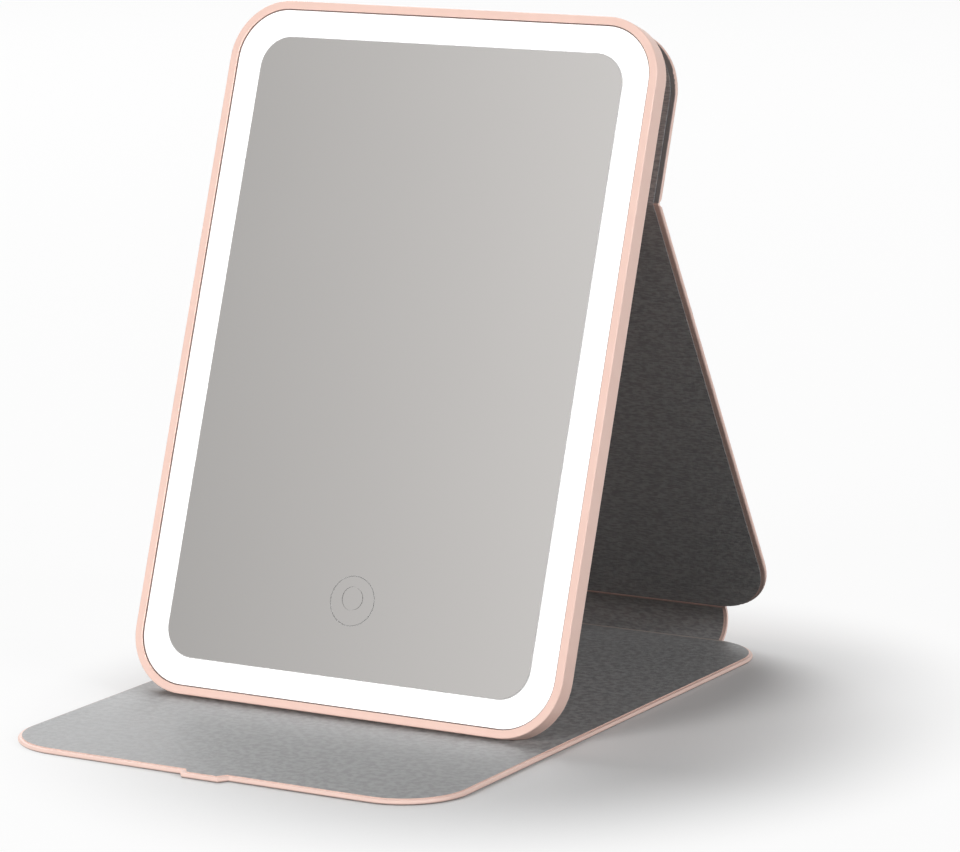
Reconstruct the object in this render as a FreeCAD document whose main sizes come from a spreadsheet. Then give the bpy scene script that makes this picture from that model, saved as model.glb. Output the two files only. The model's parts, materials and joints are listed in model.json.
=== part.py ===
import FreeCAD
import Part
import Sketcher
import os
import re

# Folding lighted mirror: a tablet with a lit border, on a folio cover that makes its stand.
# X runs to the right, Y to the back and Z up. The origin is the centre of the base panel's underside.

doc = FreeCAD.newDocument("lighted_mirror")
sizes = doc.addObject("Spreadsheet::Sheet", "sizes")

driving_sizes = (
    # Cover panels
    ("cover_side", "0.3", "panels past the tablet's sides"),
    ("cover_overhang", "2.4", "panels past the tablet's lower edge when shut"),
    ("cover_top", "0.8", "base panel past the tablet's top when shut"),
    ("upper_short", "0.4", "upper panel short of the tablet's top"),
    ("cover_corner", "23", "panel corner radius"),
    ("rim_width", "1.35", "pink rim round the base's and spine's lining"),
    ("leg_rim", "2.2", "pink rim round the leg's and upper panel's lining"),
    ("rim_drop", "0.3", "pink rim, below the lining's face"),
    ("foot_rim", "0.65", "pink rim at the leg's lower edge"),
    ("skin_thickness", "0.5", "pink outer skin"),
    ("board_thickness", "1", "stiff board inside a panel"),
    ("lining_thickness", "0.5", "grey lining"),
    ("skin_round", "0.75", "rounding of the turned edges, inside"),
    ("edge_round", "0.9", "rounding of the turned edges, outside"),
    ("tab_root", "18.2", "finger tab, where it joins the panel"),
    ("tab_front", "13.9", "finger tab, front edge"),
    ("tab_reach", "3", "finger tab, out from the panel"),
    # Folds
    ("spine_inset", "21.3", "spine's ends, in from the panels' sides"),
    ("spine_chord", "13.1", "spine, from fold line to fold line"),
    ("spine_bow", "3", "spine, bulge to the rear"),
    ("spine_lean", "14", "degrees, spine leaning back"),
    ("spine_turn", "0.7", "skin turned over the spine's long edges"),
    ("hinge_gap", "0.3", "between a panel edge and the spine's rolled edge"),
    ("leg_lean", "31.24", "degrees, rear leg leaning forward"),
    ("crease_setback", "3", "bevel of the panels at the crease"),
    ("crease_gap", "0.3", "between the two panels at the crease"),
    # Tablet
    ("tablet_width", "165", "frame, outside"),
    ("tablet_height", "240.7", "frame, outside"),
    ("tablet_corner", "21", "frame corner radius"),
    ("crease_share", "0.7545", "crease above the tablet's lower edge, of its height"),
    ("frame_depth", "7.4", "side of the frame"),
    ("frame_wall", "1.8", "side wall of the frame"),
    ("frame_round", "0.5", "rounding of the frame's edges"),
    ("frame_fit", "0.2", "between the frame and what it holds"),
    ("bezel_width", "2.8", "front of the frame"),
    ("lip_depth", "0.8", "from the bezel's front down to the lit border"),
    ("seal_width", "0.4", "dark seal inside the bezel"),
    ("seal_depth", "0.25", "dark seal, front to back"),
    ("border_width", "9.65", "lit border"),
    ("diffuser_thickness", "2", "lit border, front to back"),
    ("mirror_corner", "11", "mirror corner radius"),
    ("mirror_rise", "0.5", "mirror proud of the lit border"),
    ("mirror_edge", "0.3", "ground edge of the mirror"),
    ("glass_thickness", "2", "mirror glass"),
    ("glass_fit", "0.1", "between the mirror and the lit border"),
    ("tape_thickness", "0.2", "bonding tape"),
    ("tape_inset", "2", "bonding tape, in from what it bonds"),
    ("front_lift", "1.08", "frame's front lower edge above the base lining"),
    ("rest_gap", "0.1", "frame's foot bevel above the base lining"),
    # Light tray and LEDs
    ("tray_depth", "3.2", "from the lit border's back to the tray's back"),
    ("tray_wall", "1.2", "walls of the tray"),
    ("tray_floor", "1", "floor of the light channel"),
    ("plateau_inset", "1.5", "raised middle of the tray, in from the mirror's edge"),
    ("strip_width", "6", "flexible LED strip"),
    ("strip_thickness", "0.3", "flexible LED strip"),
    ("led_length", "3.5", "one LED, along the strip"),
    ("led_width", "2.8", "one LED, across the strip"),
    ("led_height", "0.8", "one LED"),
    ("led_pitch", "16", "from LED to LED"),
    # Rear shell
    ("shell_inset", "8", "rear shell, in from the frame's outline"),
    ("shell_depth", "7.2", "rear shell, behind the frame"),
    ("shell_wall", "1.6", "rear shell"),
    ("shell_round", "2.5", "back edge of the rear shell"),
    ("pad_thickness", "0.3", "pad that bonds the shell to the upper panel"),
    ("pad_side", "9.5", "pad, in from the shell's sides"),
    ("pad_margin", "6", "pad, above the crease and below the shell's top"),
    ("screw_inset", "16.5", "shell screws, in from the shell's sides"),
    ("screw_low", "32", "shell screws, in from the tablet's lower edge and top"),
    ("screw_diameter", "2", "shell and board screws"),
    ("screw_fit", "0.1", "round a screw"),
    ("head_diameter", "4", "screw head"),
    ("head_depth", "1.2", "screw head"),
    ("boss_diameter", "6.4", "screw bosses"),
    ("boss_reach", "3.6", "shell screw bosses, in from the shell's back"),
    # Button
    ("button_height", "26", "button centre above the mirror's lower edge"),
    ("button_diameter", "16.6", "button cap"),
    ("button_thickness", "1.6", "button cap"),
    ("button_round", "0.12", "edge of the button cap"),
    ("button_ring", "8.1", "ring groove in the button cap"),
    ("ring_rise", "0.8", "ring groove above the button's centre"),
    ("groove_width", "0.3", "ring groove in the button cap"),
    ("groove_depth", "0.2", "ring groove in the button cap"),
    ("button_fit", "0.2", "round the button and its stem"),
    ("button_proud", "0.05", "button cap above the mirror"),
    ("stem_diameter", "8", "button stem"),
    ("retainer_diameter", "11", "snap ring behind the tray"),
    ("retainer_thickness", "0.5", "snap ring behind the tray"),
    ("retainer_gap", "0.1", "snap ring behind the tray"),
    ("plunger_diameter", "3.4", "switch plunger"),
    ("plunger_reach", "0.9", "switch plunger above the switch"),
    ("plunger_inside", "0.5", "switch plunger within the switch"),
    ("switch_side", "6", "switch body"),
    ("switch_height", "2.6", "switch body"),
    ("switch_well", "1.4", "hollow of the switch under its plunger"),
    # Circuit, battery and magnets
    ("circuit_width", "46", "main board"),
    ("circuit_length", "36", "main board"),
    ("circuit_thickness", "1", "main and charging boards"),
    ("circuit_edge", "4.5", "board screws, in from the board's edges"),
    ("circuit_corner", "2", "main and charging boards"),
    ("battery_width", "62", "flat cell"),
    ("battery_length", "98", "flat cell"),
    ("battery_thickness", "4.8", "flat cell"),
    ("battery_corner", "4", "flat cell"),
    ("battery_round", "1.2", "flat cell's edges"),
    ("battery_share", "0.59", "middle of the cell, of the tablet's height"),
    ("charger_width", "18", "charging board, in from the shell's side"),
    ("charger_length", "16", "charging board"),
    ("inlet_share", "0.713", "charging inlet, of the way from the low screws to the middle ones"),
    ("inlet_width", "8.94", "charging inlet, across"),
    ("inlet_depth", "3.26", "charging inlet, front to back"),
    ("inlet_length", "7.35", "charging inlet, along the plug"),
    ("inlet_corner", "1.6", "charging inlet"),
    ("inlet_wall", "0.35", "shell of the charging inlet"),
    ("tongue_width", "6.7", "tongue of the charging inlet"),
    ("tongue_length", "5", "tongue of the charging inlet"),
    ("tongue_thickness", "0.7", "tongue of the charging inlet"),
    ("inlet_fit", "0.25", "round the charging inlet"),
    ("magnet_diameter", "10", "closing magnets"),
    ("magnet_fit", "0.1", "round a magnet"),
    ("magnet_spread", "44", "from magnet to magnet"),
    ("magnet_inset", "24", "magnets, in from the base's front edge"),
    ("magnet_thickness", "1.6", "magnets in the tablet"),
    ("cut_overrun", "5", "how far a cut runs past the solid"),
)

derived_sizes = (
    ("cover_width", "=tablet_width + 2 * cover_side", "panels, outside"),
    ("base_length", "=tablet_height + cover_overhang + cover_top", "base panel, without its tab"),
    ("spine_length", "=cover_width - 2 * spine_inset", "spine, along the fold"),
    ("crease_height", "=tablet_height * crease_share", "crease above the tablet's lower edge"),
    ("panel_thickness", "=skin_thickness + board_thickness + lining_thickness", "a whole panel"),
    ("lining_bottom", "=skin_thickness + board_thickness", "lining above a panel's outer face"),
    ("rim_height", "=panel_thickness - rim_drop", "pink rim above a panel's outer face"),
    ("hinge_radius", "=(skin_thickness + lining_thickness) / 2", "rolled edge of the spine"),
    ("bow_radius", "=(spine_chord ^ 2 / 4 + spine_bow ^ 2) / (2 * spine_bow)", "middle line of the spine"),
    ("spine_y", "=base_length / 2 + hinge_gap + hinge_radius", "fold line of base and spine"),
    ("spine_z", "=hinge_radius", "fold line of base and spine"),
    ("leg_fold_y", "=spine_y + spine_chord * sin(spine_lean)", "fold line of spine and leg"),
    ("leg_fold_z", "=spine_z + spine_chord * cos(spine_lean)", "fold line of spine and leg"),
    ("fold_reach", "=hinge_radius + hinge_gap", "fold line to panel edge"),
    ("leg_y", "=leg_fold_y - fold_reach * sin(leg_lean) + hinge_radius * cos(leg_lean)", "leg's lower edge"),
    ("leg_z", "=leg_fold_z + fold_reach * cos(leg_lean) + hinge_radius * sin(leg_lean)", "leg's lower edge"),
    ("leg_length", "=crease_height + cover_overhang", "rear leg"),
    ("upper_length", "=tablet_height - crease_height - upper_short", "upper panel"),
    ("crease_y", "=leg_y - leg_length * sin(leg_lean) - panel_thickness * cos(leg_lean)", "crease"),
    ("crease_z", "=leg_z + leg_length * cos(leg_lean) - panel_thickness * sin(leg_lean)", "crease"),
    ("tablet_depth", "=frame_depth + shell_depth + pad_thickness", "tablet, front to panel"),
    ("crease_drop", "=crease_z - panel_thickness - front_lift", "crease above the frame's front edge"),
    ("crease_span", "=sqrt(crease_height ^ 2 + tablet_depth ^ 2)", "crease to the frame's front edge"),
    ("tablet_lean", "=(acos(crease_drop / crease_span) - atan2(tablet_depth; crease_height)) / 1 deg",
     "degrees, tablet leaning back"),
    ("tablet_y", "=crease_y - crease_height * sin(tablet_lean) - tablet_depth * cos(tablet_lean)",
     "tablet's lower front edge"),
    ("tablet_z", "=crease_z - crease_height * cos(tablet_lean) + tablet_depth * sin(tablet_lean)",
     "tablet's lower front edge"),
    ("upper_y", "=crease_y + panel_thickness * cos(tablet_lean)", "upper panel's outer face at the crease"),
    ("upper_z", "=crease_z - panel_thickness * sin(tablet_lean)", "upper panel's outer face at the crease"),
    ("mirror_margin", "=bezel_width + border_width", "mirror, in from the frame's outline"),
    ("inner_margin", "=frame_wall + frame_fit", "what the frame holds, in from its outline"),
    ("plateau_margin", "=mirror_margin + plateau_inset", "tray's raised middle, in from the outline"),
    ("plateau_corner", "=mirror_corner - plateau_inset", "tray's raised middle"),
    ("strip_margin", "=(inner_margin + tray_wall + plateau_margin) / 2", "middle of the light channel"),
    ("mirror_front", "=lip_depth - mirror_rise", "mirror, behind the bezel's front"),
    ("mirror_back", "=mirror_front + glass_thickness", "back of the mirror"),
    ("plateau_front", "=mirror_back + tape_thickness", "tray's raised middle"),
    ("plateau_back", "=plateau_front + tray_wall", "behind the tray's raised middle"),
    ("diffuser_back", "=lip_depth + diffuser_thickness", "behind the lit border"),
    ("tray_back", "=diffuser_back + tray_depth", "back of the tray"),
    ("channel_floor", "=tray_back - tray_floor", "floor of the light channel"),
    ("strip_front", "=channel_floor - strip_thickness", "front of the LED strip"),
    ("shell_back", "=frame_depth + shell_depth", "back of the rear shell"),
    ("shell_inside", "=shell_back - shell_wall", "inside of the shell's back"),
    ("shell_side", "=tablet_width / 2 - shell_inset", "side of the rear shell"),
    ("pad_width", "=2 * (shell_side - pad_side)", "pad behind the shell"),
    ("screw_side", "=shell_side - screw_inset", "shell screws, out from the middle"),
    ("screw_pitch", "=tablet_height / 2 - screw_low", "from one pair of shell screws to the next"),
    ("button_place", "=mirror_margin + button_height", "button above the tablet's lower edge"),
    ("ring_place", "=button_place + ring_rise", "ring groove above the tablet's lower edge"),
    ("cap_front", "=mirror_front - button_proud", "front of the button"),
    ("cap_back", "=cap_front + button_thickness", "back of the button cap"),
    ("retainer_front", "=plateau_back + retainer_gap", "snap ring"),
    ("stem_back", "=retainer_front + retainer_thickness", "end of the button stem"),
    ("switch_front", "=stem_back + plunger_reach", "front of the switch"),
    ("circuit_front", "=switch_front + switch_height", "front of the main board"),
    ("circuit_back", "=circuit_front + circuit_thickness", "back of the main board"),
    ("boss_end", "=shell_inside - boss_reach", "where shell and tray bosses meet"),
    ("battery_height", "=tablet_height * battery_share", "middle of the cell above the tablet's lower edge"),
    ("battery_back", "=shell_inside - tape_thickness", "back of the cell"),
    ("battery_front", "=battery_back - battery_thickness", "front of the cell"),
    ("inlet_height", "=screw_low + inlet_share * screw_pitch", "inlet above the tablet's lower edge"),
    ("inlet_back", "=shell_inside - circuit_thickness", "charging inlet sits on its board"),
    ("inlet_front", "=inlet_back - inlet_depth", "front of the charging inlet"),
    ("inlet_middle", "=(inlet_front + inlet_back) / 2", "middle of the charging inlet"),
    ("magnet_place", "=crease_height + upper_length - magnet_inset", "magnets above the tablet's lower edge"),
)


def fill_sheet():
    for row, (alias, value, note) in enumerate(driving_sizes + derived_sizes, start=1):
        sizes.set("A%d" % row, note)
        sizes.set("B%d" % row, value)
        sizes.setAlias("B%d" % row, alias)
    doc.recompute()


def cells(text):
    # Every size name has an underscore, which tells it from a function such as sin.
    return re.sub(r"[a-z]+(?:_[a-z]+)+", r"sizes.\g<0>", text)


def value_of(text):
    return float(sizes.evalExpression(cells(text)))


def bind(item, **expressions):
    for name, text in expressions.items():
        item.setExpression(name, cells(text))


fill_sheet()
nodes = []
flat_tolerance = 1e-4
quarter_turn = 90
half_turn = 2 * quarter_turn
full_turn = 2 * half_turn

# Frames that the pieces are drawn in: how far back, how high, and the turn about X.
base_frame = ("0", "0", "0")
spine_frame = ("spine_y", "spine_z", "90 - spine_lean")
leg_frame = ("leg_y", "leg_z", "90 + leg_lean")
upper_frame = ("upper_y", "upper_z", "90 - tablet_lean")
tablet_frame = ("tablet_y", "tablet_z", "90 - tablet_lean")


def keep(label, item):
    item.Label = label
    nodes.append(item)


def put(item, frame, across="0", along="0", out="0"):
    back, up, turn = frame
    item.Placement = FreeCAD.Placement(FreeCAD.Vector(), FreeCAD.Rotation(FreeCAD.Vector(1, 0, 0), 1))
    item.setExpression("Placement.Base.x", cells(across))
    item.setExpression("Placement.Base.y", cells(
        "%s + (%s) * cos(%s) - (%s) * sin(%s)" % (back, along, turn, out, turn)))
    item.setExpression("Placement.Base.z", cells(
        "%s + (%s) * sin(%s) + (%s) * cos(%s)" % (up, along, turn, out, turn)))
    item.setExpression("Placement.Rotation.Angle", cells(turn))


# Sketches


def new_sketch(body, role, offset="0"):
    sketch = body.newObject("Sketcher::SketchObject", body.Name + "_sketch")
    plane = [feature for feature in body.Origin.OriginFeatures if feature.Role == role][0]
    sketch.AttachmentSupport = [(plane, "")]
    sketch.MapMode = "FlatFace"
    sketch.setExpression("AttachmentOffset.Base.z", cells(offset))
    return sketch


def constrain(sketch, *terms, size=None):
    if size is None:
        sketch.addConstraint(Sketcher.Constraint(*terms))
    else:
        index = sketch.addConstraint(Sketcher.Constraint(*terms, value_of(size)))
        sketch.setExpression("Constraints[%d]" % index, cells(size))


def pin_point(sketch, curve, point, across, along):
    constrain(sketch, "DistanceX", -1, 1, curve, point, size=across)
    constrain(sketch, "DistanceY", -1, 1, curve, point, size=along)


def add_line(sketch, start, end):
    return sketch.addGeometry(Part.LineSegment(FreeCAD.Vector(*start), FreeCAD.Vector(*end)), False)


def add_arc(sketch, centre, radius, start_turn, end_turn):
    round_line = Part.Circle(FreeCAD.Vector(*centre), FreeCAD.Vector(0, 0, 1), radius)
    return sketch.addGeometry(Part.ArcOfCircle(round_line, radians(start_turn), radians(end_turn)), False)


def radians(degrees):
    return FreeCAD.Units.Quantity(degrees, FreeCAD.Units.Angle).getValueAs("rad").Value


def polygon(sketch, points):
    places = [(value_of(across), value_of(along)) for across, along in points]
    lines = [add_line(sketch, place, following) for place, following in zip(places, places[1:] + places[:1])]
    for line, following in zip(lines, lines[1:] + lines[:1]):
        constrain(sketch, "Coincident", line, 2, following, 1)
    for line, (across, along) in zip(lines, points):
        pin_point(sketch, line, 1, across, along)


def circle(sketch, across, along, diameter):
    centre = FreeCAD.Vector(value_of(across), value_of(along))
    ring = sketch.addGeometry(Part.Circle(centre, FreeCAD.Vector(0, 0, 1), value_of(diameter) / 2), False)
    pin_point(sketch, ring, 3, across, along)
    constrain(sketch, "Radius", ring, size="(%s) / 2" % diameter)


def rounded_box(sketch, sides, ends, radius, round_low=True, round_high=True):
    # A rectangle with round corners, drawn anticlockwise from its lower edge. Either end may stay square.
    left_side, right_side = value_of(sides[0]), value_of(sides[1])
    low_end, high_end = value_of(ends[0]), value_of(ends[1])
    bend = value_of(radius)
    low_bend = bend if round_low else 0
    high_bend = bend if round_high else 0
    floor = add_line(sketch, (left_side + low_bend, low_end), (right_side - low_bend, low_end))
    right = add_line(sketch, (right_side, low_end + low_bend), (right_side, high_end - high_bend))
    roof = add_line(sketch, (right_side - high_bend, high_end), (left_side + high_bend, high_end))
    left = add_line(sketch, (left_side, high_end - high_bend), (left_side, low_end + low_bend))
    for line in (floor, roof):
        constrain(sketch, "Horizontal", line)
    for line in (right, left):
        constrain(sketch, "Vertical", line)
    corners = (
        (floor, right, round_low, (right_side - bend, low_end + bend), -quarter_turn),
        (right, roof, round_high, (right_side - bend, high_end - bend), 0),
        (roof, left, round_high, (left_side + bend, high_end - bend), quarter_turn),
        (left, floor, round_low, (left_side + bend, low_end + bend), half_turn),
    )
    arcs = []
    for before, after, is_round, centre, start_turn in corners:
        if not is_round:
            constrain(sketch, "Coincident", before, 2, after, 1)
            continue
        arcs.append(add_arc(sketch, centre, bend, start_turn, start_turn + quarter_turn))
        constrain(sketch, "Tangent", before, 2, arcs[-1], 1)
        constrain(sketch, "Tangent", arcs[-1], 2, after, 1)
    constrain(sketch, "Radius", arcs[0], size=radius)
    for arc in arcs[1:]:
        constrain(sketch, "Equal", arcs[0], arc)
    constrain(sketch, "DistanceX", -1, 1, left, 1, size=sides[0])
    constrain(sketch, "DistanceX", -1, 1, right, 1, size=sides[1])
    constrain(sketch, "DistanceY", -1, 1, floor, 1, size=ends[0])
    constrain(sketch, "DistanceY", -1, 1, roof, 1, size=ends[1])


# Solids


def new_body(name, frame):
    body = doc.addObject("PartDesign::Body", name)
    put(body, frame)
    return body


def pad(body, sketch, length, symmetric=False):
    feature = body.newObject("PartDesign::Pad", body.Name + "_pad")
    feature.Profile = sketch
    feature.SideType = "Symmetric" if symmetric else "One side"
    bind(feature, Length=length)
    return feature


def pocket(body, sketch, length, symmetric=False, forward=False):
    # Cuts against the sketch's own direction, or along it where forward is set.
    feature = body.newObject("PartDesign::Pocket", body.Name + "_pocket")
    feature.Profile = sketch
    feature.Reversed = forward
    feature.SideType = "Symmetric" if symmetric else "One side"
    bind(feature, Length=length)
    return feature


def level_edges(feature, height, skip=None):
    # The edges that lie all along at one height of the piece's own frame, but for those that skip names.
    doc.recompute()
    level = value_of(height)
    names = []
    for index, edge in enumerate(feature.Shape.Edges, start=1):
        box = edge.BoundBox
        is_level = max(abs(box.ZMin - level), abs(box.ZMax - level)) < flat_tolerance
        if is_level and not (skip and skip(edge)):
            names.append("Edge%d" % index)
    return names


def fillet(body, feature, edges, radius):
    rounded = body.newObject("PartDesign::Fillet", body.Name + "_fillet")
    rounded.Base = (feature, edges)
    bind(rounded, Radius=radius)
    return rounded


def chamfer(body, feature, edges, size):
    ground = body.newObject("PartDesign::Chamfer", body.Name + "_chamfer")
    ground.Base = (feature, edges)
    bind(ground, Size=size)
    return ground


def boolean(kind, name, base, tool):
    result = doc.addObject("Part::" + kind, name)
    result.Base = base
    result.Tool = tool
    return result


def group(name, solids):
    result = doc.addObject("Part::Compound", name)
    result.Links = solids
    return result


def cylinder(name, frame, diameter, length, across="0", along="0", out="0"):
    solid = doc.addObject("Part::Cylinder", name)
    bind(solid, Radius="(%s) / 2" % diameter, Height=length)
    put(solid, frame, across, along, out)
    return solid


# Cover panels: a stiff board wrapped in pink skin, with a grey lining that leaves a pink rim


def panel_layer(name, frame, ends, inset, bottom, thickness, crease=None, foot=None):
    # One layer of a panel. Its edges stand in from the panel's outline, less at the foot, not at the crease.
    low_inset = "0" if crease == "low" else foot or inset
    high_inset = "0" if crease == "high" else inset
    sides = ("-cover_width / 2 + %s" % inset, "cover_width / 2 - %s" % inset)
    layer_ends = ("%s + %s" % (ends[0], low_inset), "%s - %s" % (ends[1], high_inset))
    body = new_body(name, frame)
    sketch = new_sketch(body, "XY_Plane", bottom)
    rounded_box(sketch, sides, layer_ends, "cover_corner - %s" % inset, crease != "low", crease != "high")
    pad(body, sketch, thickness)
    return body


def bevel_crease(body, ends, crease):
    # The panel thins towards the crease: its inner face reaches it and its outer face stops short.
    edge, inward, outward = (ends[0], "+", "-") if crease == "low" else (ends[1], "-", "+")
    near = "%s %s crease_gap / 2" % (edge, inward)
    far = "%s %s crease_setback" % (edge, inward)
    past = "%s %s cut_overrun" % (edge, outward)
    sketch = new_sketch(body, "YZ_Plane")
    polygon(sketch, (
        (near, "panel_thickness"),
        (far, "0"),
        (far, "-cut_overrun"),
        (past, "-cut_overrun"),
        (past, "panel_thickness + cut_overrun"),
        (near, "panel_thickness + cut_overrun"),
    ))
    pocket(body, sketch, "cover_width + cut_overrun", symmetric=True)


def add_tab(body, bottom, thickness, inset):
    # The finger tab in the middle of the base's front edge widens towards the panel.
    front = "-base_length / 2 - tab_reach + %s" % inset
    join = "-base_length / 2 + %s" % inset
    root = "-base_length / 2 + cover_corner / 2"
    sketch = new_sketch(body, "XY_Plane", bottom)
    polygon(sketch, (
        ("-tab_front / 2 + %s" % inset, front),
        ("tab_front / 2 - %s" % inset, front),
        ("tab_root / 2 - %s" % inset, join),
        ("tab_root / 2 - %s" % inset, root),
        ("-tab_root / 2 + %s" % inset, root),
        ("-tab_root / 2 + %s" % inset, join),
    ))
    pad(body, sketch, thickness)


def make_panel(prefix, frame, ends, rim, crease=None):
    board_ends = (
        "%s + crease_setback" % ends[0] if crease == "low" else ends[0],
        "%s - crease_setback" % ends[1] if crease == "high" else ends[1],
    )
    board = panel_layer(
        prefix + "_board_core", frame, board_ends, "skin_thickness", "skin_thickness", "board_thickness")
    foot = "foot_rim" if crease == "high" else None
    lining = panel_layer(
        prefix + "_lining_sheet", frame, ends, rim, "lining_bottom", "lining_thickness", crease, foot)
    blank = panel_layer(prefix + "_blank", frame, ends, "0", "0", "rim_height", crease)
    if prefix == "base":
        add_tab(lining, "lining_bottom", "lining_thickness", rim)
        add_tab(blank, "0", "rim_height", "0")
    crease_place = value_of(ends[0] if crease == "low" else ends[1])

    def at_crease(edge):
        return crease is not None and abs(edge.CenterOfMass.y - crease_place) < flat_tolerance

    inside = fillet(blank, blank.Tip, level_edges(blank.Tip, "rim_height", at_crease), "skin_round")
    fillet(blank, inside, level_edges(inside, "0", at_crease), "edge_round")
    if crease is not None:
        bevel_crease(lining, ends, crease)
        bevel_crease(blank, ends, crease)
    wrapped = boolean("Cut", prefix + "_wrap", blank, board)
    keep(prefix + "_skin", boolean("Cut", prefix + "_turned", wrapped, lining))
    keep(prefix + "_lining", lining)
    return board


def make_base():
    core = make_panel("base", base_frame, ("-base_length / 2", "base_length / 2"), "rim_width")
    along = "-base_length / 2 + magnet_inset"
    magnets, wells = [], []
    for side in "-+":
        place = ("0 %s magnet_spread / 2" % side, along, "skin_thickness")
        magnets.append(cylinder("base_magnet", base_frame, "magnet_diameter", "board_thickness", *place))
        wells.append(cylinder(
            "magnet_well", base_frame, "magnet_diameter + 2 * magnet_fit", "board_thickness", *place))
    keep("base_board", boolean("Cut", "base_bored", core, group("magnet_wells", wells)))
    keep("base_magnets", group("base_magnet_pair", magnets))


def spine_band(name, length):
    # The spine's section: a bowed strip whose long edges are rolled round about the two fold lines.
    body = new_body(name, spine_frame)
    sketch = new_sketch(body, "YZ_Plane")
    chord, bow, middle = value_of("spine_chord"), value_of("bow_radius"), value_of("bow_radius - spine_bow")
    roll = value_of("hinge_radius")
    spread = FreeCAD.Units.Quantity(FreeCAD.Vector(chord / 2, middle).getAngle(FreeCAD.Vector(1, 0)), "rad")
    slope = spread.getValueAs("deg").Value
    foot_turn, top_turn = half_turn + slope, full_turn - slope
    outer = add_arc(sketch, (chord / 2, middle), bow + roll, foot_turn, top_turn)
    inner = add_arc(sketch, (chord / 2, middle), bow - roll, foot_turn, top_turn)
    top = add_arc(sketch, (chord, 0), roll, top_turn, top_turn + half_turn)
    foot = add_arc(sketch, (0, 0), roll, foot_turn + half_turn, foot_turn + full_turn)
    constrain(sketch, "Tangent", outer, 2, top, 1)
    constrain(sketch, "Tangent", top, 2, inner, 2)
    constrain(sketch, "Tangent", inner, 1, foot, 1)
    constrain(sketch, "Tangent", foot, 2, outer, 1)
    constrain(sketch, "Coincident", outer, 3, inner, 3)
    pin_point(sketch, foot, 3, "0", "0")
    pin_point(sketch, top, 3, "spine_chord", "0")
    constrain(sketch, "Radius", top, size="hinge_radius")
    constrain(sketch, "DistanceY", -1, 1, outer, 3, size="bow_radius - spine_bow")
    pad(body, sketch, length, symmetric=True)
    return body


def along_fold(name, diameter, along, out):
    # A round bar along X, as long as the spine, at a place of the spine's own frame.
    bar = doc.addObject("Part::Cylinder", name)
    bind(bar, Radius=diameter + " / 2", Height="spine_length + 2 * cut_overrun")
    put(bar, spine_frame, "-spine_length / 2 - cut_overrun", along, out)
    bar.setExpression("Placement.Rotation.Angle", None)
    bar.Placement.Rotation = FreeCAD.Rotation(FreeCAD.Vector(0, 1, 0), quarter_turn)
    return bar


def make_spine():
    band = spine_band("spine_blank", "spine_length")
    inside = spine_band("spine_inside", "spine_length - 2 * rim_width")
    core = along_fold("spine_core", "2 * bow_radius", "spine_chord / 2", "bow_radius - spine_bow")
    sheet = boolean("Common", "spine_sheet", inside, core)
    foot = along_fold("spine_foot_turn", "2 * spine_turn", "0", "0")
    top = along_fold("spine_top_turn", "2 * spine_turn", "spine_chord", "0")
    lining = boolean("Cut", "spine_lining_top", boolean("Cut", "spine_lining_foot", sheet, foot), top)
    keep("spine_skin", boolean("Cut", "spine_wrap", band, lining))
    keep("spine_lining", lining)


# Tablet: depths are counted back from the bezel's front, and margins in from the frame's outline


def outline(sketch, margin, corner=None):
    sides = ("-tablet_width / 2 + %s" % margin, "tablet_width / 2 - (%s)" % margin)
    ends = (margin, "tablet_height - (%s)" % margin)
    rounded_box(sketch, sides, ends, corner or "tablet_corner - (%s)" % margin)


def layer(body, front, back, outer, outer_corner=None, inner=None, inner_corner=None, holes=()):
    # A plate or ring of the tablet between two depths.
    sketch = new_sketch(body, "XY_Plane", "-(%s)" % back)
    outline(sketch, outer, outer_corner)
    if inner:
        outline(sketch, inner, inner_corner)
    for across, along, diameter in holes:
        circle(sketch, across, along, diameter)
    return pad(body, sketch, "%s - (%s)" % (back, front))


def block(name, front, back, sides, ends, corner):
    # A rounded flat piece inside the tablet.
    body = new_body(name, tablet_frame)
    sketch = new_sketch(body, "XY_Plane", "-(%s)" % back)
    rounded_box(sketch, sides, ends, corner)
    pad(body, sketch, "%s - (%s)" % (back, front))
    return body


def bosses(body, front, back, places, bore):
    sketch = new_sketch(body, "XY_Plane", "-(%s)" % back)
    for across, along in places:
        circle(sketch, across, along, "boss_diameter")
        circle(sketch, across, along, bore)
    return pad(body, sketch, "%s - (%s)" % (back, front))


board_screw_across = "circuit_width / 2 - circuit_edge"
board_screw_along = "circuit_length / 2 - circuit_edge"
board_screw_places = [
    ("0 %s (%s)" % (side, board_screw_across), "button_place %s (%s)" % (end, board_screw_along))
    for side in "-+" for end in "-+"
]
shell_screw_places = [
    ("0 %s screw_side" % side, "screw_low + %d * screw_pitch" % row) for side in "-+" for row in range(3)
]
screw_bore = "screw_diameter + 2 * screw_fit"


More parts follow.
